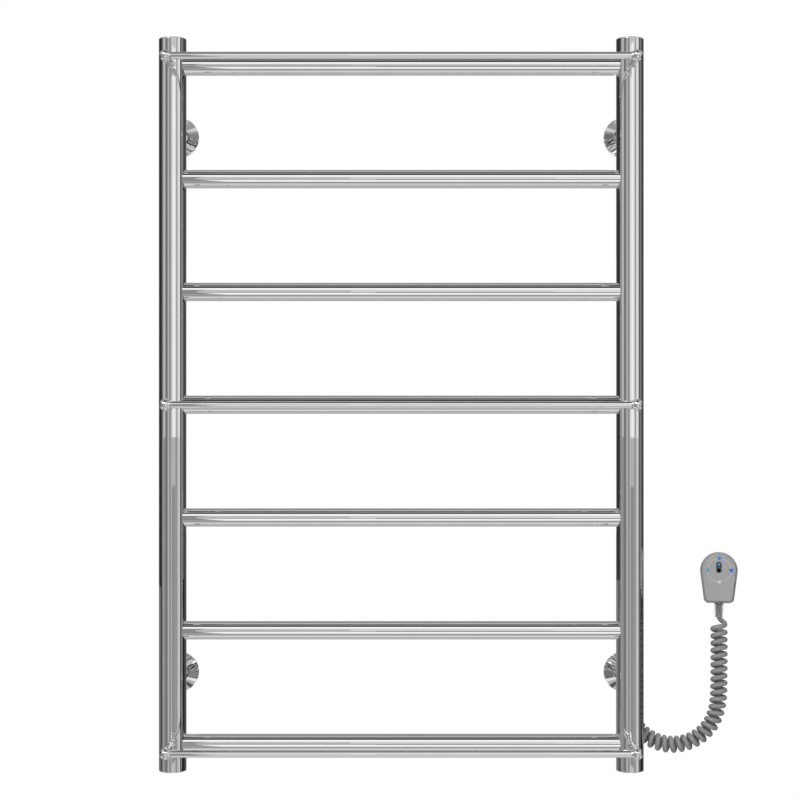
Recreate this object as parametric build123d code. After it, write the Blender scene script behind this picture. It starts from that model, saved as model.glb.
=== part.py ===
from build123d import *
import math
import os

# Frame: millimetres, X to the right, Y back to the wall, whose face is y = 0, and Z up from mid-height

# Ladder: two uprights and the rungs between them
rack_height = 800.0
upright_spacing = 500.0
upright_diameter = 30.0
upright_wall = 1.5
rung_count = 7
rung_diameter = 20.0
rung_wall = 1.2
rung_end_inset = 30.0
weld_gap = 0.1

# Caps that close the uprights
cap_thickness = 2.5
cap_edge_round = 1.0
cap_spigot_length = 6.0
cap_fit = 0.05

# Front rails: a rod on two legs, with a ball at each corner
rail_count = 3
rail_rod_diameter = 8.0
rail_ball_diameter = 13.0
rail_reach = 60.0
rail_bead_height = 0.6
rail_bead_length = 1.5

# Wall feet: a disc with one screw hole, and a hollow post
wall_distance = 55.0
bracket_end_inset = 100.0
foot_diameter = 32.0
foot_thickness = 3.5
foot_screw_hole = 5.5
post_diameter = 14.0
post_bore = 9.0
post_length = 32.0

# Sleeves welded to the uprights, which slide on the posts until their grub screws lock them
sleeve_diameter = 20.0
sleeve_slide_fit = 0.05
sleeve_end_gap = 0.5
grub_diameter = 5.0
grub_key_width = 2.5
grub_key_depth = 1.2
grub_sink = 0.5
grub_setback = 8.0
grub_fit = 0.05

# Rosettes: cones that slide on the sleeves, each held by an O-ring in its neck
rosette_diameter = 45.0
rosette_rim_height = 1.2
rosette_bevel = 0.9
rosette_cone_height = 9.0
rosette_sheet = 1.2
rosette_neck_diameter = 25.0
rosette_neck_length = 3.4
rosette_neck_round = 0.8
rosette_shoulder = 0.7
rosette_slide_fit = 0.05
o_ring_section = 1.4
o_ring_side_room = 0.25

# Heating cable, which lies along the bottom of every rung in turn, and its lead from the bush
cable_diameter = 5.0
cable_bend_radius = 12.0
cable_rest_gap = 0.3
lead_bend_radius = 7.0
splice_diameter = 6.6
splice_length = 34.0
splice_setback = 32.0
end_seal_diameter = 6.2
end_seal_length = 18.0

# Bush that the cord leaves the right upright through
bush_end_inset = 45.6
bush_hole = 10.0
bush_fit = 0.1
bush_flange_diameter = 13.0
bush_flange_rise = 2.6
bush_nose_diameter = 9.2
bush_nose_length = 1.6
bush_lip_diameter = 11.4
bush_inner_length = 5.0

# Curly cord: the route is the middle line of its curls, as (x, z) in the plane y = cord_plane, and
# the tail sizes place the cord between its last curl and the strain relief
cord_diameter = 5.2
cord_plane = -24.0
cord_fit = 0.1
cord_seat_depth = 5.4
curl_radius = 7.05
curl_count = 27
curl_route = [
    (256.2, -351.0),
    (265.3, -366.3),
    (297.4, -380.1),
    (331.2, -371.4),
    (352.2, -343.8),
    (353.4, -292.0),
    (353.0, -247.2),
]
curl_end_share = 0.125
tail_side = 3.5
tail_back = 1.8
tail_rise = 5.0
tail_climb = 40.0

# Plug: two shells with a round head, and a round insert with the contact pins behind them
plug_x = 353.0
plug_z = -184.5
plug_turn = 10.2
plug_tip = 5.4
plug_head_radius = 20.5
plug_drop = 35.9
plug_foot_width = 33.4
plug_corner_radius = 5.5
plug_front_depth = 14.0
plug_back_depth = 14.0
plug_slope_width = 2.4
plug_slope_depth = 5.0
plug_edge_round = 0.9
plug_wall = 2.0
plug_fit = 0.1
insert_radius = 18.25
insert_length = 17.0
insert_end_wall = 9.0
insert_wall = 1.5
pin_diameter = 4.8
pin_length = 19.0
pin_spacing = 19.0
pin_tip_round = 1.2
pin_root_diameter = 5.8
pin_collar_diameter = 7.0
pin_collar_height = 2.0
clip_width = 5.0
clip_thickness = 0.8
clip_groove_depth = 3.0
clip_bump_radius = 1.8

# Controls in the plug's face
bezel_width = 6.0
bezel_height = 12.5
bezel_y = 3.4
bezel_flange = 0.8
button_diameter = 3.6
button_proud = 0.3
button_travel = 0.6
button_drop = 3.1
button_flange = 0.5
button_stem_diameter = 1.8
button_stem_engagement = 0.2
light_diameter = 2.0
light_rise = 3.2
control_fit = 0.05

# Board behind the controls, with the parts on it
board_depth = 6.5
board_thickness = 1.6
board_ledge = 1.4
switch_size = 4.6
switch_height = 2.0
relay_width = 15.0
relay_height = 10.0
relay_depth = 8.0
relay_rise = 6.0

# Screws that hold the shells together
screw_offset = 10.6
screw_drop = 25.5
screw_diameter = 2.9
screw_head_diameter = 5.4
screw_head_height = 2.0
screw_head_depth = 6.0
screw_length = 16.0
screw_boss_wall = 1.7

# Ribbed strain relief between plug and cord
boot_length = 15.3
boot_base_diameter = 10.8
boot_tip_diameter = 8.6
boot_collar_length = 0.7
boot_rib_count = 7
boot_core_diameter = 6.4
boot_neck_diameter = 9.0
boot_flange_diameter = 12.4
boot_flange_thickness = 2.0

# Worked out from the sizes above
rack_y = -wall_distance
upright_radius = upright_diameter / 2
upright_bore_radius = upright_radius - upright_wall
rung_radius = rung_diameter / 2
rung_bore_radius = rung_radius - rung_wall
rung_top = rack_height / 2 - rung_end_inset
rung_pitch = 2 * rung_top / (rung_count - 1)
rung_heights = [rung_top - index * rung_pitch for index in range(rung_count)]
rail_radius = rail_rod_diameter / 2
rail_seat = rail_radius + rail_bead_height + weld_gap
rail_y = rack_y - rail_reach
rail_pitch = 2 * rung_top / (rail_count - 1)
sleeve_radius = sleeve_diameter / 2
sleeve_bore_radius = post_diameter / 2 + sleeve_slide_fit
sleeve_start = foot_thickness + sleeve_end_gap
upright_back = wall_distance - upright_radius
bracket_height = rack_height / 2 - bracket_end_inset
rosette_bore_radius = sleeve_radius + rosette_slide_fit
cable_radius = cable_diameter / 2
cord_radius = cord_diameter / 2
bush_height = bush_end_inset - rack_height / 2
bush_mouth = -upright_back + bush_flange_rise + bush_nose_length
plug_inner_face = plug_front_depth - plug_wall
board_back = board_depth - board_thickness
insert_end = plug_back_depth + insert_length
button_y = bezel_y - button_drop
light_y = bezel_y + light_rise
screw_boss_radius = screw_diameter / 2 + screw_boss_wall
boot_mouth = plug_z - plug_drop - boot_length
left, right = -1, 1


def upright_x(side):
    """Middle line of an upright."""
    return side * upright_spacing / 2


def bar(radius, start, end):
    """Round bar between two points."""
    along = Vector(*end) - Vector(*start)
    seat = (Align.CENTER, Align.CENTER, Align.MIN)
    return Plane(origin=start, z_dir=along) * Cylinder(radius, along.length, align=seat)


def turned(place, *profile):
    """Turned piece: the profile's points are (radius, height) along the normal of the plane."""
    outline = Polyline(*[(radius, 0, height) for radius, height in profile], close=True)
    return place * revolve(make_face(outline), axis=Axis.Z)


def tube_along(path, radius):
    """Round tube along a path, its section square to the path's start."""
    section = Plane(origin=path @ 0, z_dir=path % 0) * Circle(radius)
    return sweep(section, path=path)


def upright_core(side, radius):
    """Bar on an upright's middle line, longer than the upright, to cut others to its surface."""
    x = upright_x(side)
    return bar(radius, (x, rack_y, -rack_height), (x, rack_y, rack_height))


def upright(side):
    """Upright tube between its caps, open to each rung, with the cord's hole on the right one."""
    x = upright_x(side)
    half = rack_height / 2 - cap_thickness
    bottom, top = (x, rack_y, -half), (x, rack_y, half)
    tube = bar(upright_radius, bottom, top) - bar(upright_bore_radius, bottom, top)
    for height in rung_heights:
        inner_side = (x - side * upright_diameter, rack_y, height)
        tube -= bar(rung_bore_radius, (x, rack_y, height), inner_side)
    if side == right:
        tube -= bar(bush_hole / 2, (x, rack_y, bush_height), (x, 0, bush_height))
    return tube


def upright_cap(side, end):
    """Cap flush with the upright's outside, with a spigot in its bore."""
    place = Plane(
        origin=(upright_x(side), rack_y, end * (rack_height / 2 - cap_thickness)),
        z_dir=(0, 0, end),
    )
    seat = (Align.CENTER, Align.CENTER, Align.MIN)
    disc = Cylinder(upright_radius, cap_thickness, align=seat)
    disc = fillet(disc.edges().group_by(Axis.Z)[-1], cap_edge_round)
    spigot = Rot(180, 0, 0) * Cylinder(upright_bore_radius - cap_fit, cap_spigot_length, align=seat)
    return place * (disc + spigot)


def rung(height):
    """Rung tube, its ends hollowed to sit on the uprights."""
    start = (upright_x(left), rack_y, height)
    end = (upright_x(right), rack_y, height)
    tube = bar(rung_radius, start, end) - bar(rung_bore_radius, start, end)
    for side in (left, right):
        tube -= upright_core(side, upright_radius + weld_gap)
    return tube


def rail_rod(height):
    """Thin rod between two corner balls, with a weld bead at each end."""
    reach = upright_x(right) - rail_seat
    beads = (rail_radius + rail_bead_height, reach), (rail_radius, reach - rail_bead_length)
    place = Plane(origin=(0, rail_y, height), z_dir=(1, 0, 0))
    mirrored = [(radius, -along) for radius, along in reversed(beads)]
    return turned(place, (0, reach), *beads, *mirrored, (0, -reach))


def rail_leg(side, height):
    """Leg from the upright's front to the corner ball, with a weld bead at each end."""
    x = upright_x(side)
    ball_end = rail_reach - rail_seat
    foot = upright_radius + weld_gap
    place = Plane(origin=(x, rack_y, height), z_dir=(0, -1, 0))
    profile = [
        (0, 0),
        (rail_radius + rail_bead_height, 0),
        (rail_radius + rail_bead_height, foot),
        (rail_radius, foot + rail_bead_length),
        (rail_radius, ball_end - rail_bead_length),
        (rail_radius + rail_bead_height, ball_end),
        (0, ball_end),
    ]
    return turned(place, *profile) - upright_core(side, foot)


def rail_ball(side, height):
    """Corner ball with a flat seat for the rod and one for the leg."""
    centre = Pos(upright_x(side), rail_y, height)
    ball = Sphere(rail_ball_diameter / 2)
    block = rail_ball_diameter
    for turn in (Rot(0, -side * 90, 0), Rot(-90, 0, 0)):
        ball -= turn * Pos(0, 0, rail_seat + block / 2) * Box(block, block, block)
    return centre * ball


def bracket_place(side, end):
    """Plane on the wall at a bracket, facing the room."""
    origin = (upright_x(side), 0, end * bracket_height)
    return Plane(origin=origin, x_dir=(1, 0, 0), z_dir=(0, -1, 0))


def wall_foot(side, end):
    """Disc against the wall with one screw hole, and the hollow post that carries a sleeve."""
    post_end = foot_thickness + post_length
    profile = [
        (foot_screw_hole / 2, 0),
        (foot_diameter / 2, 0),
        (foot_diameter / 2, foot_thickness),
        (post_diameter / 2, foot_thickness),
        (post_diameter / 2, post_end),
        (post_bore / 2, post_end),
        (post_bore / 2, foot_thickness),
        (foot_screw_hole / 2, foot_thickness),
    ]
    return turned(bracket_place(side, end), *profile)


def grub_line(side, end):
    """Middle line of a grub screw, up through the underside of a sleeve, as its two ends."""
    y = -(upright_back - grub_setback)
    height = end * bracket_height
    x = upright_x(side)
    return (x, y, height - sleeve_radius + grub_sink), (x, y, height - sleeve_bore_radius)


def bracket_sleeve(side, end):
    """Sleeve from the upright's back to just off the wall foot, tapped for its grub screw."""
    profile = [
        (sleeve_bore_radius, sleeve_start),
        (sleeve_radius, sleeve_start),
        (sleeve_radius, wall_distance),
        (sleeve_bore_radius, wall_distance),
    ]
    sleeve = turned(bracket_place(side, end), *profile)
    sleeve -= upright_core(side, upright_radius + weld_gap)
    outside, inside = (Vector(*point) for point in grub_line(side, end))
    spare = inside - outside
    return sleeve - bar(grub_diameter / 2, outside - spare, inside + spare)


def grub_screw(side, end):
    """Grub screw, sunk just below the sleeve's face, so that the rosette slides over it."""
    outside, inside = grub_line(side, end)
    screw = bar(grub_diameter / 2 - grub_fit, outside, inside)
    socket = RegularPolygon(grub_key_width / 2, 6, major_radius=False)
    screw -= Plane(origin=outside, z_dir=(0, 0, 1)) * extrude(socket, grub_key_depth)
    return screw


def rosette_levels():
    """Heights along a rosette from the wall: cone foot, cone top, neck end and O-ring middle."""
    cone_foot = rosette_rim_height + rosette_bevel
    cone_top = cone_foot + rosette_cone_height
    neck_end = cone_top + rosette_neck_length
    return cone_foot, cone_top, neck_end, neck_end - rosette_neck_length / 2


def rosette(side, end):
    """Spun cone with a bevelled rim and a grooved neck that runs on the sleeve."""
    cone_foot, cone_top, neck_end, ring_height = rosette_levels()
    rim = rosette_diameter / 2
    foot = rim - rosette_bevel
    neck = rosette_neck_diameter / 2
    shoulder = neck + rosette_shoulder
    steepness = rosette_cone_height / (foot - shoulder)
    inside = foot - rosette_sheet * math.hypot(1, steepness) / steepness
    groove = rosette_bore_radius + o_ring_section
    half_groove = o_ring_section / 2 + o_ring_side_room
    bore_start = ring_height - half_groove - rosette_sheet
    profile = [
        (inside, 0),
        (rim, 0),
        (rim, rosette_rim_height),
        (foot, cone_foot),
        (shoulder, cone_top),
        (neck, cone_top + rosette_shoulder),
        (neck, neck_end - rosette_neck_round),
        (neck - rosette_neck_round, neck_end),
        (rosette_bore_radius, neck_end),
        (rosette_bore_radius, ring_height + half_groove),
        (groove, ring_height + half_groove),
        (groove, ring_height - half_groove),
        (rosette_bore_radius, ring_height - half_groove),
        (rosette_bore_radius, bore_start),
        (inside - (bore_start - cone_foot) / steepness, bore_start),
        (inside, cone_foot),
    ]
    return turned(bracket_place(side, end), *profile)


def rosette_o_ring(side, end):
    """O-ring in the neck's groove, just round the sleeve."""
    ring_height = rosette_levels()[-1]
    ring = Torus(rosette_bore_radius + o_ring_section / 2, o_ring_section / 2)
    return bracket_place(side, end) * Pos(0, 0, ring_height) * ring


def resting_height(height, radius):
    """Middle line of something round that lies on the bottom of a rung's bore."""
    return height - rung_bore_radius + radius + cable_rest_gap


def splice_span():
    """Ends of the splice, left then right, in the lowest rung."""
    end = upright_x(right) - upright_radius - splice_setback
    return end - splice_length, end


def end_seal_span():
    """Ends of the cable's seal, nearer the middle first, at the last end of the highest rung."""
    side = left if rung_count % 2 else right
    outer = side * (upright_x(right) - upright_radius)
    return outer - side * end_seal_length, outer


def supply_lead():
    """Lead from the bush down the upright and into the lowest rung, as far as the splice."""
    x = upright_x(right)
    height = resting_height(rung_heights[-1], cable_radius)
    corners = [
        (x, -upright_back - bush_inner_length, bush_height),
        (x, rack_y, bush_height),
        (x, rack_y, height),
        (splice_span()[1], rack_y, height),
    ]
    return tube_along(FilletPolyline(*corners, radius=lead_bend_radius), cable_radius)


def splice_sleeve():
    """Sealed joint between the lead and the heating cable."""
    height = resting_height(rung_heights[-1], splice_diameter / 2)
    start, end = ((x, rack_y, height) for x in splice_span())
    return bar(splice_diameter / 2, start, end)


def heating_cable():
    """Cable through every rung from the lowest up, crossing from upright to upright."""
    heights = [resting_height(height, cable_radius) for height in reversed(rung_heights)]
    corners = [(splice_span()[0], rack_y, heights[0])]
    side = left
    for lower, upper in zip(heights, heights[1:]):
        corners.append((upright_x(side), rack_y, lower))
        corners.append((upright_x(side), rack_y, upper))
        side = -side
    corners.append((end_seal_span()[0], rack_y, heights[-1]))
    return tube_along(FilletPolyline(*corners, radius=cable_bend_radius), cable_radius)


def cable_end_seal():
    """Cap on the far end of the heating cable."""
    height = resting_height(rung_heights[0], end_seal_diameter / 2)
    start, end = ((x, rack_y, height) for x in end_seal_span())
    return bar(end_seal_diameter / 2, start, end)


def cord_bush():
    """Snap-in bush: flange outside the upright, shank in its hole, lip inside, blind seat for the cord."""
    x = upright_x(right)

    def stretch(radius, start, end):
        return bar(radius, (x, start, bush_height), (x, end, bush_height))

    back = -upright_back
    inner_end = back - bush_inner_length
    flange = stretch(bush_flange_diameter / 2, inner_end, back + bush_flange_rise)
    flange -= upright_core(right, upright_radius + weld_gap)
    lip = stretch(bush_lip_diameter / 2, inner_end, back)
    lip &= upright_core(right, upright_bore_radius - weld_gap)
    shank = stretch(bush_hole / 2 - bush_fit, inner_end, back + bush_flange_rise)
    nose = stretch(bush_nose_diameter / 2, back, bush_mouth)
    seat = stretch(cord_radius + cord_fit, bush_mouth - cord_seat_depth, bush_mouth)
    return flange + lip + shank + nose - seat


def route_radii(points):
    """Radius at each corner of the cord's route: as large as its two runs allow."""
    radii = []
    for before, corner, after in zip(points, points[1:], points[2:]):
        run_in, run_out = corner - before, after - corner
        half_turn = math.radians(run_in.get_angle(run_out)) / 2
        radii.append(0.45 * min(run_in.length, run_out.length) / math.tan(half_turn))
    return radii


def curl_nodes():
    """Points and directions a quarter turn apart along the curls, from the bush's end to the plug's."""
    points = [Vector(x, cord_plane, z) for x, z in curl_route]
    radii = route_radii(points)
    print("radii of the curls' middle line:", [round(radius, 1) for radius in radii])
    route = FilletPolyline(*points, radius=radii).wire()
    across = Vector(0, -1, 0)

    def place(turn):
        share = min(max(turn / curl_count, 0), 1)
        along = route % share
        centre = route @ share + along * (turn / curl_count - share) * route.length
        angle = math.pi + 2 * math.pi * turn
        outward = across.cross(along)
        return centre + outward * curl_radius * math.cos(angle) + across * curl_radius * math.sin(angle)

    step = 0.001
    turns = [quarter / 4 for quarter in range(4 * curl_count)] + [curl_count - curl_end_share]
    return [(place(turn), (place(turn + step) - place(turn - step)).normalized()) for turn in turns]


def biarc(start, start_way, end, end_way):
    """Two arcs that leave one point and reach the next in the given directions."""
    chord = end - start
    both = start_way + end_way
    spread = 2 * (1 - start_way.dot(end_way))
    reach = math.sqrt(chord.dot(both) ** 2 + spread * chord.dot(chord)) - chord.dot(both)
    reach /= spread
    corners = start + start_way * reach, end - end_way * reach
    joint = (corners[0] + corners[1]) / 2
    arcs = []
    for first, corner, last in ((start, corners[0], joint), (joint, corners[1], end)):
        weight = (last - first).length / 2 / reach
        middle = (first + corner * 2 * weight + last) / (2 + 2 * weight)
        arcs.append(Edge.make_three_point_arc(first, middle, last))
    return arcs


def cord_line():
    """The cord's middle line: out of the bush, round its curls and up into the strain relief."""
    backwards, boot_way = Vector(0, 1, 0), plug_place().y_dir
    bush_end = Vector(upright_x(right), bush_mouth, bush_height)
    boot_end = Vector(plug_x, cord_plane, boot_mouth)
    last_x, last_z = curl_route[-1]
    tail = Vector(last_x + tail_side, cord_plane + tail_back, last_z + tail_rise)
    climb = math.radians(tail_climb)
    tail_way = Vector(-math.cos(climb), 0, math.sin(climb))
    nodes = [(bush_end, backwards), *curl_nodes(), (tail, tail_way), (boot_end, boot_way)]
    edges = [Edge.make_line(bush_end - backwards * cord_seat_depth, bush_end)]
    for (start, start_way), (end, end_way) in zip(nodes, nodes[1:]):
        edges += biarc(start, start_way, end, end_way)
    edges.append(Edge.make_line(boot_end, boot_end + boot_way * cord_seat_depth))
    return edges


def least_gap(edges):
    """Least gap between stretches of the cord that are half a turn or more apart along it."""
    samples = 4
    points = [edge @ (index / samples) for edge in edges for index in range(samples)]
    apart = 4 * samples
    middles = (
        (points[first] - points[second]).length
        for first in range(len(points))
        for second in range(first + apart, len(points))
    )
    return min(middles) - cord_diameter


def curly_cord():
    """Curly cord as one unbroken tube."""
    edges = cord_line()
    bends = [edge.radius for edge in edges if edge.geom_type == GeomType.CIRCLE]
    length = sum(edge.length for edge in edges)
    cord = tube_along(Wire(edges), cord_radius)
    print("cord: tightest bend", round(min(bends), 2), "length", round(length, 1))
    print("cord: least gap to itself", round(least_gap(edges), 2))
    print("cord: volume over section times length", round(cord.volume / (math.pi * cord_radius**2 * length), 4))
    return cord


def plug_place():
    """Plane through the plug between its shells, at the middle of its round head, facing the room.

    The plug stands on the mouth of its strain relief, turned towards the rack and tipped back.
    """
    turn, tip = math.radians(plug_turn), math.radians(plug_tip)
    across = Vector(math.cos(turn), -math.sin(turn), 0)
    level_front = Vector(-math.sin(turn), -math.cos(turn), 0)
    front = level_front * math.cos(tip) + Vector(0, 0, math.sin(tip))
    upwards = front.cross(across)
    mouth = Vector(plug_x, cord_plane, boot_mouth)
    return Plane(origin=mouth + upwards * (plug_z - boot_mouth), x_dir=across, z_dir=front)


def plug_outline(inset):
    """Round head, sides that draw in and a foot with rounded corners, all set in by the same amount."""
    head = plug_head_radius - inset
    corner = plug_corner_radius - inset
    centre_x = plug_foot_width / 2 - plug_corner_radius
    centre_y = plug_corner_radius - plug_drop
    lean = math.atan2(centre_y, centre_x) + math.acos((head - corner) / math.hypot(centre_x, centre_y))
    turn = (lean - math.pi / 2) / 2

    def on_corner(angle):
        return centre_x + corner * math.cos(angle), centre_y + corner * math.sin(angle)

    shoulder = head * math.cos(lean), head * math.sin(lean)
    hip, knee, foot = on_corner(lean), on_corner(turn), on_corner(-math.pi / 2)

    def other(point):
        return -point[0], point[1]

    edges = [
        ThreePointArc(other(shoulder), (0, head), shoulder),
        Line(shoulder, hip),
        ThreePointArc(hip, knee, foot),
        Line(foot, other(foot)),
        ThreePointArc(other(foot), other(knee), other(hip)),
        Line(other(hip), other(shoulder)),
    ]
    return make_face(edges)


def plug_block(inset, low, high):
    """The plug's outline, set in, as a block between two depths."""
    return Pos(0, 0, low) * extrude(plug_outline(inset), high - low)


def upright_bar(radius, x, y, low, high):
    """Round bar square to the plug's face, between two depths."""
    return bar(radius, (x, y, low), (x, y, high))


def screw_places():
    """Middle of each shell screw on the plug's face."""
    return [(side * screw_offset, -screw_drop) for side in (left, right)]


def boot_room():
    """Room that both shells leave for the strain relief's neck and flange."""
    foot = -plug_drop
    inside = foot + plug_wall
    neck = bar(boot_neck_diameter / 2 + plug_fit, (0, foot - plug_wall, 0), (0, inside + plug_wall, 0))
    return neck


def pill(width, height, middle, low, high):
    """Block with round ends between two depths."""
    return Pos(0, middle, low) * extrude(Rot(0, 0, 90) * SlotOverall(height, width), high - low)


def plug_front_shell():
    """Front shell: face with sloped sides, a window for the bezel, a ledge for the board and screw bosses."""
    side = plug_front_depth - plug_slope_depth
    slope = Pos(0, 0, side) * plug_outline(0), Pos(0, 0, plug_front_depth) * plug_outline(plug_slope_width)
    shell = plug_block(0, 0, side) + loft(slope, ruled=True)
    shell = fillet(shell.edges().group_by(Axis.Z)[-1], plug_edge_round)
    shell -= plug_block(plug_wall, 0, board_depth)
    shell -= plug_block(plug_wall + board_ledge, board_depth, plug_inner_face)
    shell -= boot_room()
    shell -= pill(
        bezel_width + 2 * control_fit,
        bezel_height + 2 * control_fit,
        bezel_y,
        plug_inner_face,
        plug_front_depth,
    )
    for x, y in screw_places():
        shell += upright_bar(screw_boss_radius, x, y, 0, plug_inner_face)
        shell -= upright_bar(screw_diameter / 2 + plug_fit, x, y, 0, screw_length - screw_head_depth)
    return plug_place() * shell


def plug_back_shell():
    """Back shell with its round insert, grooved for the earth clips and bored for the pins."""
    back = -plug_back_depth
    shell = plug_block(0, back, 0) + upright_bar(insert_radius, 0, 0, -insert_end, back)
    shell -= plug_block(plug_wall, back + plug_wall, 0)
    shell -= upright_bar(insert_radius - insert_wall - clip_groove_depth, 0, 0, insert_end_wall - insert_end, 0)
    shell -= boot_room()
    groove = Box(clip_width + 2 * plug_fit, 2 * clip_groove_depth, insert_length)
    for end in (-1, 1):
        shell -= Pos(0, end * insert_radius, back - insert_length / 2) * groove
    for side in (left, right):
        x = side * pin_spacing / 2
        shell -= upright_bar(pin_root_diameter / 2 + control_fit, x, 0, -insert_end, 0)
    for x, y in screw_places():
        shell += upright_bar(screw_boss_radius + screw_boss_wall, x, y, back, 0)
        shell -= upright_bar(screw_diameter / 2 + plug_fit, x, y, back, 0)
        shell -= upright_bar(screw_head_diameter / 2 + plug_fit, x, y, back, -screw_head_depth)
    return plug_place() * shell


def contact_pin(side):
    """Contact pin: collar inside the insert's end wall, root in it and a round-tipped pin beyond."""
    x = side * pin_spacing / 2
    wall = insert_end_wall - insert_end
    pin = upright_bar(pin_collar_diameter / 2, x, 0, wall, wall + pin_collar_height)
    pin += upright_bar(pin_root_diameter / 2, x, 0, -insert_end, wall)
    free = upright_bar(pin_diameter / 2, x, 0, -insert_end - pin_length, -insert_end)
    free = fillet(free.edges().group_by(Axis.Z)[0], pin_tip_round)
    return plug_place() * (pin + free)


def earth_clip(end):
    """Spring strip on the floor of its groove, with a bump that meets the socket's contact."""
    floor = insert_radius - clip_groove_depth
    middle = -plug_back_depth - insert_length / 2
    strip = Pos(0, floor + clip_thickness / 2, 0) * Box(clip_width, clip_thickness, insert_length - clip_width)
    bump = Rot(0, 90, 0) * Cylinder(clip_bump_radius, clip_width)
    bump = Pos(0, floor + clip_thickness, 0) * bump
    upper = Pos(0, floor + 2 * clip_bump_radius, 0) * Box(clip_width, 4 * clip_bump_radius, insert_length)
    strip += bump & upper
    turn = Rot(0, 0, 0 if end > 0 else 180)
    return plug_place() * Pos(0, 0, middle) * turn * strip


def control_bezel():
    """Dark pill in the face's window, flanged behind the wall, holed for button and light."""
    bezel = pill(bezel_width, bezel_height, bezel_y, plug_inner_face, plug_front_depth)
    flange_width, flange_height = bezel_width + 2 * bezel_flange, bezel_height + 2 * bezel_flange
    bezel += pill(flange_width, flange_height, bezel_y, plug_inner_face - bezel_flange, plug_inner_face)
    for radius, y in ((button_diameter / 2, button_y), (light_diameter / 2, light_y)):
        bezel -= upright_bar(radius + control_fit, 0, y, 0, plug_front_depth)
    return plug_place() * bezel


def control_button():
    """Push button: cap through the bezel, flange behind it and a stem into the switch."""
    flange_front = plug_inner_face - bezel_flange - control_fit
    switch_top = board_depth + switch_height
    flange_back = switch_top + button_travel + 2 * control_fit
    cap = upright_bar(button_diameter / 2, 0, button_y, flange_back, plug_front_depth + button_proud)
    cap += upright_bar(button_diameter / 2 + button_flange, 0, button_y, flange_back, flange_front)
    stem_end = switch_top - button_stem_engagement
    cap += upright_bar(button_stem_diameter / 2, 0, button_y, stem_end, flange_back)
    return plug_place() * cap


def status_light():
    """Light guide from the board to the face."""
    return plug_place() * upright_bar(light_diameter / 2, 0, light_y, board_depth, plug_front_depth)


def control_board():
    """Circuit board on the front shell's ledge, notched round the screw bosses."""
    board = plug_block(plug_wall + plug_fit, board_back, board_depth)
    room = boot_flange_diameter + boot_flange_thickness
    for x, y in screw_places():
        board -= upright_bar(screw_boss_radius + plug_fit, x, y, 0, plug_inner_face)
    board -= Pos(0, -plug_drop, board_depth) * Box(room, room, board_depth)
    return plug_place() * board


def button_switch():
    """Switch on the board's front, with a well for the button's stem."""
    seat = (Align.CENTER, Align.CENTER, Align.MIN)
    switch = Pos(0, button_y, board_depth) * Box(switch_size, switch_size, switch_height, align=seat)
    top = board_depth + switch_height
    well = button_stem_engagement + button_travel + control_fit
    switch -= upright_bar(button_stem_diameter / 2 + control_fit, 0, button_y, top - well, top)
    return plug_place() * switch


def power_relay():
    """Relay on the board's back, which switches the heating cable."""
    seat = (Align.CENTER, Align.CENTER, Align.MAX)
    return plug_place() * Pos(0, relay_rise, board_back) * Box(relay_width, relay_height, relay_depth, align=seat)


def plug_screw(x, y):
    """Shell screw, its head in the back shell and its shank in the front shell's boss."""
    seat = -screw_head_depth
    tip = seat + screw_length - plug_fit
    screw = upright_bar(screw_head_diameter / 2, x, y, seat - screw_head_height, seat)
    screw += upright_bar(screw_diameter / 2, x, y, seat, tip)
    slot = Pos(x, y, seat - screw_head_height) * Box(screw_head_diameter, screw_head_height / 3, screw_head_height)
    return plug_place() * (screw - slot)


def cord_boot():
    """Strain relief: flange inside the shells, neck through their wall and a taper of thin ribs outside."""
    foot = -plug_drop
    place = plug_place() * Plane(origin=(0, foot, 0), z_dir=(0, -1, 0))
    neck, flange, core = boot_neck_diameter / 2, boot_flange_diameter / 2, boot_core_diameter / 2
    inside = -plug_wall - plug_fit
    first_rib = plug_fit + boot_collar_length
    profile = [
        (0, inside - boot_flange_thickness),
        (flange, inside - boot_flange_thickness),
        (flange, inside),
        (neck, inside),
        (neck, first_rib),
    ]
    rib_pitch = (boot_length - first_rib) / (boot_rib_count - 0.5)

    def taper(height):
        share = height / boot_length
        return boot_base_diameter / 2 + share * (boot_tip_diameter - boot_base_diameter) / 2

    for rib in range(boot_rib_count):
        start = first_rib + rib * rib_pitch
        end = min(start + rib_pitch / 2, boot_length)
        profile += [(taper(start), start), (taper(end), end)]
        if rib < boot_rib_count - 1:
            profile += [(core, end), (core, start + rib_pitch)]
    profile.append((0, boot_length))
    boot = turned(Plane.XY, *profile)
    boot -= bar(cord_radius + cord_fit, (0, 0, boot_length - cord_seat_depth), (0, 0, boot_length))
    return place * boot


def group(solids):
    """Several like solids as one piece."""
    return Compound(children=[solid for piece in solids for solid in piece.solids()])


# Every piece by name
side_names = {left: "left", right: "right"}
end_names = {1: "top", -1: "bottom"}
corners = [(side, end) for end in end_names for side in side_names]
rail_names = ["top", "middle", "bottom"]

pieces = {}
for side in side_names:
    pieces[f"upright_{side_names[side]}"] = upright(side)
for index, height in enumerate(rung_heights):
    pieces[f"rung_{index + 1}"] = rung(height)
for name, index in zip(rail_names, range(rail_count)):
    height = rung_top - index * rail_pitch
    pieces[f"rail_rod_{name}"] = rail_rod(height)
    pieces[f"rail_legs_{name}"] = group([rail_leg(side, height) for side in side_names])
    pieces[f"rail_balls_{name}"] = group([rail_ball(side, height) for side in side_names])
for side, end in corners:
    corner = f"{end_names[end]}_{side_names[side]}"
    pieces[f"upright_cap_{corner}"] = upright_cap(side, end)
    pieces[f"wall_foot_{corner}"] = wall_foot(side, end)
    pieces[f"bracket_sleeve_{corner}"] = bracket_sleeve(side, end)
    pieces[f"rosette_{corner}"] = rosette(side, end)
    pieces[f"rosette_o_ring_{corner}"] = rosette_o_ring(side, end)
pieces["grub_screws"] = group([grub_screw(side, end) for side, end in corners])

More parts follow.
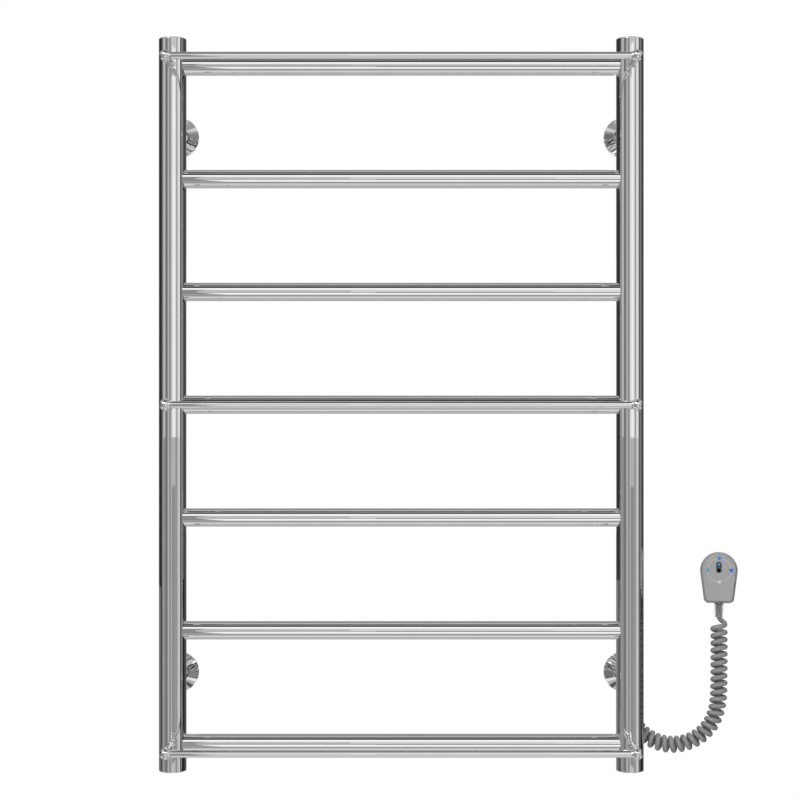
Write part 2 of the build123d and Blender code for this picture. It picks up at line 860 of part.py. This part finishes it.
pieces["supply_lead"] = supply_lead()
pieces["splice_sleeve"] = splice_sleeve()
pieces["heating_cable"] = heating_cable()
pieces["cable_end_seal"] = cable_end_seal()
pieces["cord_bush"] = cord_bush()
pieces["curly_cord"] = curly_cord()

pieces["cord_boot"] = cord_boot()
pieces["plug_front_shell"] = plug_front_shell()
pieces["plug_back_shell"] = plug_back_shell()
pieces["plug_pins"] = group([contact_pin(side) for side in side_names])
pieces["earth_clips"] = group([earth_clip(end) for end in end_names])
pieces["plug_screws"] = group([plug_screw(x, y) for x, y in screw_places()])
pieces["control_bezel"] = control_bezel()
pieces["control_button"] = control_button()
pieces["status_light"] = status_light()
pieces["control_board"] = control_board()
pieces["button_switch"] = button_switch()
pieces["power_relay"] = power_relay()

os.makedirs("parts", exist_ok=True)
for name, piece in pieces.items():
    export_step(piece, f"parts/{name}.step")
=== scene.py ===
import math

import bmesh
import bpy
from mathutils import Matrix, Vector


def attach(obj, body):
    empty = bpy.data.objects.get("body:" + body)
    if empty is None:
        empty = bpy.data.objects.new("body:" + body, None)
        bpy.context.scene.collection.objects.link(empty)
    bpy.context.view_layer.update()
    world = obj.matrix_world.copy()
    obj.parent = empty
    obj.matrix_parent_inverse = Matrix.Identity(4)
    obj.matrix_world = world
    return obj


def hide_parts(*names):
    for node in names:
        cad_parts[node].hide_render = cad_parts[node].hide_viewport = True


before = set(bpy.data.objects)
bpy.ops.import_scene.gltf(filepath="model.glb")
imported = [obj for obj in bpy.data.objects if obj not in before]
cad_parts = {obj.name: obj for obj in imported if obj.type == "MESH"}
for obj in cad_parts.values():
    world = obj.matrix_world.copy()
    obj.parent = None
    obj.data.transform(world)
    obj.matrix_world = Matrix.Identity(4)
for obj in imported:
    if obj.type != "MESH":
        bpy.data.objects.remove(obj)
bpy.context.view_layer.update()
scene = bpy.context.scene
scene.view_settings.view_transform = "Standard"


# Camera: level, square to the wall and two metres out from it, with a long lens.
# The shift is the photograph's own framing, a little low and right of the middle.
camera_distance = 1.980
camera = bpy.data.objects.new("camera", bpy.data.cameras.new("camera"))
scene.collection.objects.link(camera)
camera.location = (0, -camera_distance, 0)
camera.rotation_euler = (math.radians(90), 0, 0)
camera.data.sensor_width = 36
camera.data.lens = 79.2
camera.data.shift_x = -0.0016
camera.data.shift_y = 0.0059
camera.data.clip_end = 60
scene.camera = camera


# White room: the camera, the steel and the plastic see white, and the rest of the
# light from all round is softer, at a plain level.
room_fill = 0.12
world = bpy.data.worlds.new("white_room")
world.use_nodes = True
scene.world = world
room = world.node_tree
room.nodes.clear()
seen = room.nodes.new("ShaderNodeLightPath")
seen_or_shiny = room.nodes.new("ShaderNodeMath")
seen_or_shiny.operation = "MAXIMUM"
room.links.new(seen.outputs["Is Camera Ray"], seen_or_shiny.inputs[0])
room.links.new(seen.outputs["Is Glossy Ray"], seen_or_shiny.inputs[1])
seen_or_through = room.nodes.new("ShaderNodeMath")
seen_or_through.operation = "MAXIMUM"
room.links.new(seen_or_shiny.outputs[0], seen_or_through.inputs[0])
room.links.new(seen.outputs["Is Transmission Ray"], seen_or_through.inputs[1])
white = room.nodes.new("ShaderNodeBackground")
white.inputs["Color"].default_value = (1, 1, 1, 1)
white.inputs["Strength"].default_value = 1
soft = room.nodes.new("ShaderNodeBackground")
soft.inputs["Color"].default_value = (1, 1, 1, 1)
soft.inputs["Strength"].default_value = room_fill
either = room.nodes.new("ShaderNodeMixShader")
room.links.new(seen_or_through.outputs[0], either.inputs["Fac"])
room.links.new(soft.outputs[0], either.inputs[1])
room.links.new(white.outputs[0], either.inputs[2])
room_out = room.nodes.new("ShaderNodeOutputWorld")
room.links.new(either.outputs[0], room_out.inputs["Surface"])


# Floor: a pale painted sweep under the rack, as far down as a bathroom's. Away from the
# rack it fades into the white of the room.
floor_height = -1.5
floor_radius = 4.5
floor_pale = (0.9, 0.9, 0.9, 1)
floor_whitening = 0.45
fade_start, fade_end = 2.6, 3.2
floor_mesh = bpy.data.meshes.new("floor")
floor_bm = bmesh.new()
bmesh.ops.create_circle(floor_bm, cap_ends=True, segments=96, radius=floor_radius)
bmesh.ops.translate(floor_bm, verts=floor_bm.verts, vec=(0, 0, floor_height))
floor_bm.to_mesh(floor_mesh)
floor_bm.free()
floor = bpy.data.objects.new("floor", floor_mesh)
floor.visible_glossy = False
scene.collection.objects.link(floor)
floor_paint = bpy.data.materials.new("pale_floor")
floor_paint.use_nodes = True
tree = floor_paint.node_tree
shade = tree.nodes["Principled BSDF"]
shade.inputs["Base Color"].default_value = floor_pale
shade.inputs["Roughness"].default_value = 0.8
place = tree.nodes.new("ShaderNodeTexCoord")
away = tree.nodes.new("ShaderNodeVectorMath")
away.operation = "LENGTH"
tree.links.new(place.outputs["Object"], away.inputs[0])
fade = tree.nodes.new("ShaderNodeMapRange")
fade.inputs["From Min"].default_value = fade_start
fade.inputs["From Max"].default_value = fade_end
fade.inputs["To Min"].default_value = floor_whitening
tree.links.new(away.outputs["Value"], fade.inputs["Value"])
ray = tree.nodes.new("ShaderNodeLightPath")
seen_fade = tree.nodes.new("ShaderNodeMath")
seen_fade.operation = "MULTIPLY"
tree.links.new(ray.outputs["Is Camera Ray"], seen_fade.inputs[0])
tree.links.new(fade.outputs["Result"], seen_fade.inputs[1])
room_white = tree.nodes.new("ShaderNodeEmission")
mixed = tree.nodes.new("ShaderNodeMixShader")
tree.links.new(seen_fade.outputs[0], mixed.inputs["Fac"])
tree.links.new(shade.outputs[0], mixed.inputs[1])
tree.links.new(room_white.outputs[0], mixed.inputs[2])
tree.links.new(mixed.outputs[0], tree.nodes["Material Output"].inputs["Surface"])
floor_mesh.materials.append(floor_paint)


# Lamps: a large soft one above and left of the camera, one by the camera, and others to
# the right and behind. The steel mirrors the cards of the next section instead of them.
for lamp_name, lamp_place, lamp_size, lamp_watts in (
    ("key_lamp", (-0.7, -3.1, 2.2), 1.5, 84),
    ("front_lamp", (0.2, -3.4, 0.5), 1.2, 12),
    ("fill_lamp", (2.4, -2.2, 0.6), 2.0, 8),
    ("back_lamp", (0.6, 2.2, 1.8), 2.0, 30),
):
    lamp_data = bpy.data.lights.new(lamp_name, "AREA")
    lamp_data.size = lamp_size
    lamp_data.energy = lamp_watts
    lamp = bpy.data.objects.new(lamp_name, lamp_data)
    lamp.location = lamp_place
    lamp.rotation_euler = (-Vector(lamp_place)).to_track_quat("-Z", "Y").to_euler()
    lamp.visible_glossy = False
    lamp.visible_camera = False
    scene.collection.objects.link(lamp)


# Studio cards: grey, black and white boards stood round the rack, which give polished
# steel its bands. Heights step from low to roof in front, and on their own behind. Only
# reflections see the boards.
card_distance = 9.0
card_bend = 4
card_finishes = {}


def card_finish(grey):
    """An evenly lit board of one grey."""
    if grey not in card_finishes:
        board = bpy.data.materials.new(f"card_{round(grey * 100)}")
        board.use_nodes = True
        nodes = board.node_tree.nodes
        nodes.clear()
        glow = nodes.new("ShaderNodeEmission")
        glow.inputs["Strength"].default_value = grey
        out = nodes.new("ShaderNodeOutputMaterial")
        board.node_tree.links.new(glow.outputs[0], out.inputs["Surface"])
        card_finishes[grey] = board
    return card_finishes[grey]


def stand_card(name, bm, grey):
    """A studio card from its bmesh, seen in reflections alone."""
    mesh = bpy.data.meshes.new(name)
    bm.to_mesh(mesh)
    bm.free()
    mesh.materials.append(card_finish(grey))
    card = bpy.data.objects.new(name, mesh)
    for kind in ("camera", "diffuse", "shadow", "transmission", "volume_scatter"):
        setattr(card, f"visible_{kind}", False)
    scene.collection.objects.link(card)


def curved_card(name, grey, start, end, low, high):
    """A card round the rack, from one bearing to another in degrees, front 0 and right 90."""
    bm = bmesh.new()
    foot, head = (bm.verts.new((0, -card_distance, z)) for z in (low, high))
    edge = bm.edges.new((foot, head))
    bmesh.ops.rotate(
        bm, verts=bm.verts, cent=(0, 0, 0),
        matrix=Matrix.Rotation(math.radians(start), 3, "Z"),
    )
    bmesh.ops.spin(
        bm, geom=[foot, head, edge], cent=(0, 0, 0), axis=(0, 0, 1),
        angle=math.radians(end - start), steps=max(2, round((end - start) / card_bend)),
    )
    stand_card(name, bm, grey)


def level_card(name, grey, near, far, height, half_width, middle=0):
    """A card lying level, from one place to another along Y, with its middle on X."""
    bm = bmesh.new()
    bmesh.ops.create_grid(bm, x_segments=1, y_segments=1, size=1)
    bmesh.ops.scale(bm, vec=(half_width, (far - near) / 2, 1), verts=bm.verts)
    bmesh.ops.translate(bm, vec=(middle, (near + far) / 2, height), verts=bm.verts)
    stand_card(name, bm, grey)


low, sill, ledge, knee, step = -6.2, -2.75, -2.2, -1.1, -0.5
shelf, brow, top, roof = -0.2, 2.2, 4.0, 5.4
back_low, back_step, back_brow, back_top = -2.5, -0.8, 0.9, 2.6
panel_foot, panel_head = 4.7, 8.0
for card in (
    ("front_foot_near", 0.48, -8, -1, ledge, shelf),
    ("front_foot", 0.28, -1, 28, ledge, step),
    ("main_box_step", 0.45, -1, 28, step, shelf),
    ("front_sill", 0.52, -8, 28, sill, ledge),
    ("front_left", 0.52, -8, -2, shelf, brow),
    ("front", 0.74, -2, 6, shelf, brow),
    ("main_box", 0.88, 6, 28, shelf, brow),
    ("front_head", 0.58, -8, 28, brow, top),
    ("main_box_edge", 0.62, 28, 36, shelf, top),
    ("main_box_edge_foot", 0.34, 28, 36, low, shelf),
    ("box_gap", 0.28, 36, 45, low, top),
    ("side_box", 0.68, 45, 62, shelf, top),
    ("side_box_foot", 0.52, 45, 62, low, shelf),
    ("side_box_bright", 0.85, 62, 70.5, shelf, roof),
    ("side_box_bright_foot", 0.68, 62, 70.5, low, shelf),
    ("right_black", 0.04, 70.5, 81.5, low, roof),
    ("right_grey", 0.23, 81.5, 97, knee, roof),
    ("right_grey_foot", 0.23, 81.5, 90.5, low, knee),
    ("right_dark", 0.1, 97, 115, knee, roof),
    ("right_black_foot", 0.01, 90.5, 115, low, knee),
    ("right_back_black", 0.05, 115, 138, back_low, back_top),
    ("right_back_dark", 0.08, 138, 163, back_low, back_top),
    ("back_foot", 0.3, 163, 197, back_low, back_step),
    ("back_shelf", 0.62, 163, 197, back_step, back_brow),
    ("back_head", 0.4, 163, 197, back_brow, back_top),
    ("back_apron", 0.36, 115, 257, low, back_low),
    ("back_canopy", 0.45, 115, 257, back_top, roof),
    ("left_back_dark", 0.06, -163, -134, knee, back_top),
    ("left_back_foot", 0.24, -163, -134, back_low, knee),
    ("left_back_black", 0.03, -134, -103, knee, back_top),
    ("left_back_black_foot", 0.13, -134, -103, back_low, knee),
    ("left_black", 0.05, -103, -90.5, low, roof),
    ("left_dark", 0.16, -90.5, -86, low, roof),
    ("left_side", 0.33, -86, -74, low, top),
    ("left_box", 0.52, -74, -58, shelf, top),
    ("left_box_foot", 0.28, -74, -58, low, shelf),
    ("left_shade", 0.18, -58, -39, low, top),
    ("left_grey", 0.31, -39, -33, low, top),
    ("left_line", 0.48, -33, -23, low, top),
    ("left_near", 0.27, -23, -8, low, top),
    ("bright_panel", 6.0, -80, -20, panel_foot, panel_head),
):
    curved_card(*card)
ceiling, below = 4.0, -6.0
over_ceiling, over_below = ceiling + 0.1, below + 0.1
rack_wide, room_wide = 1.4, 9
aside = 4.9
for card in (
    ("ceiling_front_black", 0.02, -3.75, -2.0, ceiling, rack_wide),
    ("ceiling_front_grey", 0.24, -2.0, -1.05, ceiling, rack_wide),
    ("ceiling_dark", 0.02, -1.05, 0.3, ceiling, rack_wide),
    ("ceiling_grey", 0.5, 0.3, 1.6, ceiling, rack_wide),
    ("ceiling_back", 0.25, 1.6, 9.0, ceiling, rack_wide),
    ("ceiling_left", 0.62, -2.0, 3.0, ceiling, 1.2, -aside),
    ("ceiling_right", 0.62, -2.0, 3.0, ceiling, 1.2, aside),
    ("ceiling_sides", 0.32, -4.0, 9.0, over_ceiling, room_wide),
    ("below_left_dark", 0.1, -2.0, 3.0, over_below, 0.8, -3.0),
    ("below_right_dark", 0.1, -2.0, 3.0, over_below, 0.8, 3.0),
    ("below_left_white", 0.8, -2.0, 3.0, over_below, 1.4, -7.2),
    ("below_right_white", 0.8, -2.0, 3.0, over_below, 1.4, 7.2),
    ("below_dark", 0.2, -8.0, -5.3, below, room_wide),
    ("below_grey", 0.5, -5.3, -2.2, below, room_wide),
    ("below_light", 0.72, -2.2, 0.1, below, room_wide),
    ("below_back", 0.46, 0.1, 9.0, below, room_wide),
):
    level_card(*card)


# Uprights and rungs: round steel tube, chrome plated after the rungs were mitred on.
# The polishing wheel leaves a faint cloudiness in the plate. Flat caps close the ends.
def mottle_group():
    """A roughness and a shade that drift over a surface, with a height to match."""
    group = bpy.data.node_groups.new("mottle", "ShaderNodeTree")
    for way, label, kind in (
        ("INPUT", "Scale", "NodeSocketFloat"),
        ("INPUT", "Smooth", "NodeSocketFloat"),
        ("INPUT", "Rough", "NodeSocketFloat"),
        ("INPUT", "Dark", "NodeSocketColor"),
        ("INPUT", "Light", "NodeSocketColor"),
        ("OUTPUT", "Roughness", "NodeSocketFloat"),
        ("OUTPUT", "Shade", "NodeSocketColor"),
        ("OUTPUT", "Height", "NodeSocketFloat"),
    ):
        group.interface.new_socket(label, in_out=way, socket_type=kind)
    ins = group.nodes.new("NodeGroupInput")
    outs = group.nodes.new("NodeGroupOutput")
    where = group.nodes.new("ShaderNodeTexCoord")
    cloud_low, cloud_high = 0.3, 0.7
    cloud = group.nodes.new("ShaderNodeTexNoise")
    cloud.inputs["Detail"].default_value = 4
    group.links.new(where.outputs["Object"], cloud.inputs["Vector"])
    group.links.new(ins.outputs["Scale"], cloud.inputs["Scale"])
    spread = group.nodes.new("ShaderNodeMapRange")
    spread.inputs["From Min"].default_value = cloud_low
    spread.inputs["From Max"].default_value = cloud_high
    group.links.new(cloud.outputs["Fac"], spread.inputs["Value"])
    group.links.new(ins.outputs["Smooth"], spread.inputs["To Min"])
    group.links.new(ins.outputs["Rough"], spread.inputs["To Max"])
    group.links.new(spread.outputs["Result"], outs.inputs["Roughness"])
    tone = group.nodes.new("ShaderNodeMix")
    tone.data_type = "RGBA"
    group.links.new(cloud.outputs["Fac"], tone.inputs["Factor"])
    group.links.new(ins.outputs["Dark"], tone.inputs[6])
    group.links.new(ins.outputs["Light"], tone.inputs[7])
    group.links.new(tone.outputs[2], outs.inputs["Shade"])
    group.links.new(cloud.outputs["Fac"], outs.inputs["Height"])
    return group


mottle = mottle_group()


def finish(name, base, roughness, grain, metallic=0.0, drift=0.12, bump=None):
    """A material whose shade and roughness drift in patches, with a bump if asked for."""
    made = bpy.data.materials.new(name)
    made.use_nodes = True
    tree = made.node_tree
    shader = tree.nodes["Principled BSDF"]
    shader.inputs["Metallic"].default_value = metallic
    placed = tree.nodes.new("ShaderNodeGroup")
    placed.node_tree = mottle
    placed.inputs["Scale"].default_value = grain
    placed.inputs["Smooth"].default_value, placed.inputs["Rough"].default_value = roughness
    placed.inputs["Dark"].default_value = (*(level * (1 - drift) for level in base), 1)
    placed.inputs["Light"].default_value = (*(level * (1 + drift) for level in base), 1)
    tree.links.new(placed.outputs["Roughness"], shader.inputs["Roughness"])
    tree.links.new(placed.outputs["Shade"], shader.inputs["Base Color"])
    if bump:
        strength, distance = bump
        raised = tree.nodes.new("ShaderNodeBump")
        raised.inputs["Strength"].default_value = strength
        raised.inputs["Distance"].default_value = distance
        tree.links.new(placed.outputs["Height"], raised.inputs["Height"])
        tree.links.new(raised.outputs["Normal"], shader.inputs["Normal"])
    return made


def dress(material, *nodes):
    """Gives CAD nodes their finish."""
    for node in nodes:
        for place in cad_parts[node].material_slots:
            place.material = material


rung_count = 7
polished_steel = finish(
    "polished_steel", (0.94, 0.94, 0.94), (0.005, 0.022), 35, metallic=1.0, drift=0.03,
)
corners = ("top_left", "top_right", "bottom_left", "bottom_right")
dress(polished_steel, "upright_left", "upright_right")
dress(polished_steel, *(f"rung_{n + 1}" for n in range(rung_count)))
dress(polished_steel, *(f"upright_cap_{corner}" for corner in corners))


# Front rails: a thin steel rod on two legs at three heights, with a turned ball at each
# corner. They are welded up, set on the uprights and plated with them.
for level in ("top", "middle", "bottom"):
    dress(polished_steel, *(f"rail_{part}_{level}" for part in ("rod", "legs", "balls")))


# Sleeves and rosettes: turned sleeves behind the uprights, and spun cones that slide on
# them and hide the wall feet. Both are steel, plated like the tubes.
for corner in corners:
    dress(polished_steel, f"bracket_sleeve_{corner}", f"rosette_{corner}")


# Wall feet and screws: turned and rolled steel, zinc plated, bright but unpolished.
# The feet are screwed to the wall, and a grub screw locks each sleeve on its foot.
zinc = finish("zinc_plated_steel", (0.62, 0.63, 0.64), (0.24, 0.42), 180, metallic=1.0)
dress(zinc, *(f"wall_foot_{corner}" for corner in corners), "grub_screws", "plug_screws")


# O-rings, splice and end seal: black rubber. The rings grip the sleeves inside the
# rosettes' necks, and the other two close the cable's ends inside the tubes.
rubber = finish("black_rubber", (0.018, 0.018, 0.018), (0.5, 0.7), 400)
dress(rubber, *(f"rosette_o_ring_{corner}" for corner in corners))
dress(rubber, "splice_sleeve", "cable_end_seal")


# Lead and heating cable: silicone sheaths over the wires, laid through the tubes from
# the bush to the highest rung.
lead_sheath = finish("lead_sheath", (0.3, 0.3, 0.3), (0.42, 0.58), 300)
dress(lead_sheath, "supply_lead")
heater_sheath = finish("heater_sheath", (0.45, 0.1, 0.06), (0.42, 0.58), 300)
dress(heater_sheath, "heating_cable")


# Curly cord: grey PVC flex wound into a spring, hung in a loop from the bush to the plug,
# with a strain relief at the plug. Its middle line is one smooth curve, and the curls go
# round points read from that.
cord_diameter = 0.0052
round_allowance = 1.025
cord_plane = -0.024
cord_start = Vector((0.250, -0.0412, -0.3544))
cord_straight = 0.012
cord_seat = 0.0054
boot_mouth = Vector((0.353, cord_plane, -0.2357))
boot_way = Vector((0.0167, 0.0926, 0.9956))
curl_route = [
    (0.2562, -0.3510),
    (0.2653, -0.3663),
    (0.2974, -0.3801),
    (0.3312, -0.3714),
    (0.3522, -0.3438),
    (0.3534, -0.2920),
    (0.3530, -0.2450),
]
curl_radius = 0.00705
curl_count = 27
curl_end_share = 0.125
curl_points = 24
curl_lean = Vector((0.16, 0, -0.16))


def smooth_curve(name, points):
    """A curve of one open NURBS spline with these control points."""
    curve = bpy.data.curves.new(name, "CURVE")
    curve.dimensions = "3D"
    spline = curve.splines.new("NURBS")
    spline.points.add(len(points) - 1)
    for point, place in zip(spline.points, points):
        point.co = (*place, 1)
    spline.order_u = 3
    spline.use_endpoint_u = True
    return curve


route_curve = smooth_curve("curl_route", [(x, cord_plane, z) for x, z in curl_route])
route_curve.resolution_u = 60
route_object = bpy.data.objects.new("curl_route", route_curve)
route_mesh = bpy.data.meshes.new_from_object(route_object)
route = [vertex.co.copy() for vertex in route_mesh.vertices]
bpy.data.objects.remove(route_object)
bpy.data.curves.remove(route_curve)
bpy.data.meshes.remove(route_mesh)
route_marks = [0.0]
for before, after in zip(route, route[1:]):
    route_marks.append(route_marks[-1] + (after - before).length)


def along_route(share):
    """Place and heading at a share of the route's length."""
    mark = share * route_marks[-1]
    last = len(route) - 1
    near = max(1, next((n for n, passed in enumerate(route_marks) if passed >= mark), last))
    before, after = route[near - 1], route[near]
    part = (mark - route_marks[near - 1]) / (route_marks[near] - route_marks[near - 1])
    return before.lerp(after, part), (after - before).normalized()


cord_points = [cord_start + Vector((0, share * cord_straight, 0)) for share in (0, 0.5, 1)]
last_turn = curl_count - curl_end_share
across = Vector((0, -1, 0))
for number in range(round(last_turn * curl_points) + 1):
    turn = number / curl_points
    middle, heading = along_route(turn / curl_count)
    outward = across.cross(heading)
    angle = math.pi + 2 * math.pi * turn
    curl = middle + curl_radius * (math.cos(angle) * outward + math.sin(angle) * across)
    cord_points.append(curl + curl_lean * (curl.y - cord_plane))
cord_tail = (
    (0.0070, -0.0016, 0.0012),
    (0.0062, 0.0014, 0.0030),
    (0.0034, 0.0020, 0.0050),
    (0.0008, 0.0004, 0.0070),
)
cord_points += [route[-1] + Vector(step_on) for step_on in cord_tail]
cord_points += [boot_mouth + boot_way * share * cord_seat for share in (0, 0.5, 1)]
cord_curve = smooth_curve("curly_cord_flex", cord_points)
cord_curve.bevel_depth = round_allowance * cord_diameter / 2
cord_curve.bevel_resolution = 4
cord_curve.resolution_u = 2
cord_curve.use_fill_caps = True
curly_cord = bpy.data.objects.new("curly_cord_flex", cord_curve)
scene.collection.objects.link(curly_cord)
cord_grey = finish("cord_grey", (0.34, 0.34, 0.34), (0.36, 0.5), 260, bump=(0.08, 0.0003))
cord_curve.materials.append(cord_grey)
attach(curly_cord, "rack")
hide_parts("curly_cord")
dress(cord_grey, "cord_boot", "cord_bush")


# Plug: two moulded shells in grey plastic with a fine spark-eroded grain, screwed
# together. They face the viewer, turned towards the rack and tipped back.
plug_turn = math.radians(10.2)
plug_tip = math.radians(5.4)
plug_rise = 0.0512
plug_front_depth = 0.014
plug_across = Vector((math.cos(plug_turn), -math.sin(plug_turn), 0))
plug_front = Vector((-math.sin(plug_turn), -math.cos(plug_turn), 0)) * math.cos(plug_tip)
plug_front += Vector((0, 0, math.sin(plug_tip)))
plug_up = plug_front.cross(plug_across)
plug_face = Matrix((plug_across, plug_up, plug_front)).transposed().to_4x4()
plug_face.translation = boot_mouth + plug_up * plug_rise + plug_front * plug_front_depth
plug_grey = finish(
    "plug_grey", (0.43, 0.43, 0.43), (0.17, 0.26), 2200, drift=0.06, bump=(0.05, 0.0002),
)
dress(plug_grey, "plug_front_shell", "plug_back_shell")


# Timer marks: a pale ring pad-printed round the control in thick ink, with an arrowhead
# at each quarter, three in blues and the last one white.
print_thickness = 0.00006
ring_radius = 0.0130
ring_width = 0.0008
ring_centre = Vector((0.0004, 0.0003))
ring_steps = 96
arrow_size = 0.0032
arrow_thickness = 0.000096
gloss_spread = 0.08
ink_grain = 3000
merge_distance = 1e-7


def print_mark(name, bm, ink, gloss):
    """A printed mark, from a bmesh in the plane of the plug's face."""
    bmesh.ops.transform(bm, matrix=plug_face, verts=bm.verts)
    bmesh.ops.recalc_face_normals(bm, faces=bm.faces)
    mesh = bpy.data.meshes.new(name)
    bm.to_mesh(mesh)
    bm.free()
    sheen = (gloss - gloss_spread, gloss + gloss_spread)
    mesh.materials.append(finish(name, ink, sheen, ink_grain))
    mark = bpy.data.objects.new(name, mesh)
    scene.collection.objects.link(mark)
    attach(mark, "rack")


bm = bmesh.new()
section = [
    bm.verts.new((ring_radius + across_ring * ring_width / 2, 0, height * print_thickness))
    for across_ring, height in ((-1, -1), (1, -1), (1, 1), (-1, 1))
]
outline = [bm.edges.new((a, b)) for a, b in zip(section, section[1:] + section[:1])]
bmesh.ops.spin(
    bm, geom=section + outline, cent=(0, 0, 0), axis=(0, 0, 1),
    angle=2 * math.pi, steps=ring_steps, use_merge=True,
)
bmesh.ops.remove_doubles(bm, verts=bm.verts, dist=merge_distance)
bmesh.ops.translate(bm, vec=(*ring_centre, 0), verts=bm.verts)
print_mark("timer_ring", bm, (0.56, 0.56, 0.56), 0.45)
for name, bearing, ink in (
    ("arrow_top", 90, (0.05, 0.26, 0.78)),
    ("arrow_right", 0, (0.002, 0.18, 0.85)),
    ("arrow_bottom", -90, (0.68, 0.68, 0.68)),
    ("arrow_left", 180, (0.13, 0.38, 0.6)),
):
    bm = bmesh.new()
    bmesh.ops.create_circle(bm, cap_ends=True, segments=3, radius=arrow_size)
    turn_round = Matrix.Rotation(math.radians(bearing), 3, "Z")
    turn_back = Matrix.Rotation(math.radians(180), 3, "Z")
    for turning in (turn_back, turn_round):
        bmesh.ops.rotate(bm, cent=(0, 0, 0), matrix=turning, verts=bm.verts)
    raised = bmesh.ops.extrude_face_region(bm, geom=list(bm.faces))
    upper = [v for v in raised["geom"] if isinstance(v, bmesh.types.BMVert)]
    bmesh.ops.translate(bm, vec=(0, 0, arrow_thickness), verts=upper)
    spot = turn_round @ Vector((ring_radius, 0, 0)) + Vector((*ring_centre, 0))
    bmesh.ops.translate(bm, vec=spot, verts=bm.verts)
    print_mark(name, bm, ink, 0.4)


# Pins and earth clips: brass, nickel plated. The pins are moulded into the plug's insert
# and the sprung clips lie in its grooves.
pin_metal = finish("pin_metal", (0.72, 0.7, 0.66), (0.16, 0.3), 300, metallic=1.0)
dress(pin_metal, "plug_pins", "earth_clips")


# Control: a dark plastic pill with a black button and a small light, cyan while the rack
# heats. They stand on a green board that is held between the plug's shells.
pill_grey = finish("bezel_black", (0.07, 0.07, 0.07), (0.2, 0.32), 500)
dress(pill_grey, "control_bezel", "button_switch", "power_relay")
button_black = finish("button_black", (0.003, 0.003, 0.003), (0.5, 0.62), 900)
matt = button_black.node_tree.nodes["Principled BSDF"]
matt.inputs["Specular IOR Level"].default_value = 0.03
dress(button_black, "control_button")
status_cyan = finish("status_cyan", (0.01, 0.34, 0.6), (0.2, 0.32), 1500)
lit = status_cyan.node_tree.nodes["Principled BSDF"]
lit.inputs["Emission Color"].default_value = (0.0, 0.4, 0.75, 1)
lit.inputs["Emission Strength"].default_value = 0.62
dress(status_cyan, "status_light")
board_green = finish("board_green", (0.02, 0.16, 0.06), (0.34, 0.46), 300)
dress(board_green, "control_board")
